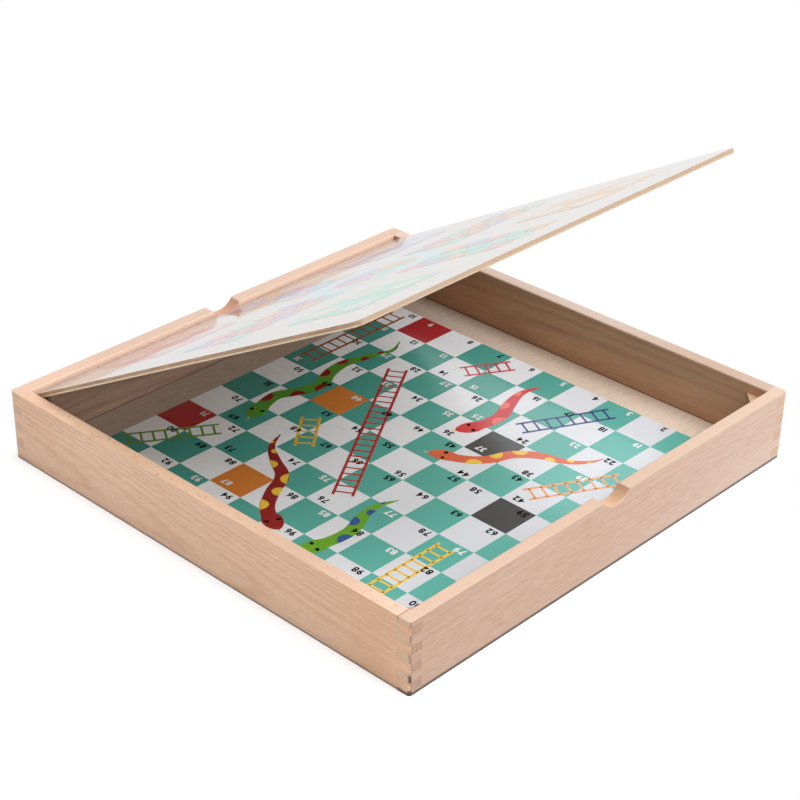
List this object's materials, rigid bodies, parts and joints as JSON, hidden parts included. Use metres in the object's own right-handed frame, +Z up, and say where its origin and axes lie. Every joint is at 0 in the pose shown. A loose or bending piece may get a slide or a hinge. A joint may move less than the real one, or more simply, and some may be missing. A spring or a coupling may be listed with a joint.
{
  "type": "multi-game wooden board",
  "caption": "Square finger-jointed wooden game tray with a printed squares board as its floor and a loose printed lid panel that rests on corner posts inside the rim.",
  "frame": {"origin": "middle of the tray, on the surface that it stands on", "axes": "+Z up, +X from the edge that the lid tilts about towards the opening side, +Y towards the back wall"},
  "size_m": [0.4, 0.4, 0.2343],
  "materials": {
    "beech": "sanded, thin satin lacquer",
    "floor_plywood": "glossy lacquer",
    "lid_plywood": "sanded edge",
    "floor_print": "glossy printed sheet",
    "lid_print": "glossy printed sheet",
    "lid_backing": "plain cream satin sheet"
  },
  "bodies": {
    "tray": {"front_wall": "beech", "right_wall": "beech", "back_wall": "beech", "left_wall": "beech", "post_front_left": "beech", "post_front_right": "beech", "post_back_right": "beech", "post_back_left": "beech", "floor_panel": "floor_plywood", "floor_print": "floor_print"},
    "lid": {"lid_panel": "lid_plywood", "lid_print": "lid_print", "lid_backing": "lid_backing"}
  },
  "joints": [
    {"name": "lid_tilt", "type": "hinge", "parent": "tray", "child": "lid", "pos_m": [-0.18825, 0, 0.0523], "axis": [0, -1, 0], "range_deg": [-28.9, 61.1]}
  ]
}
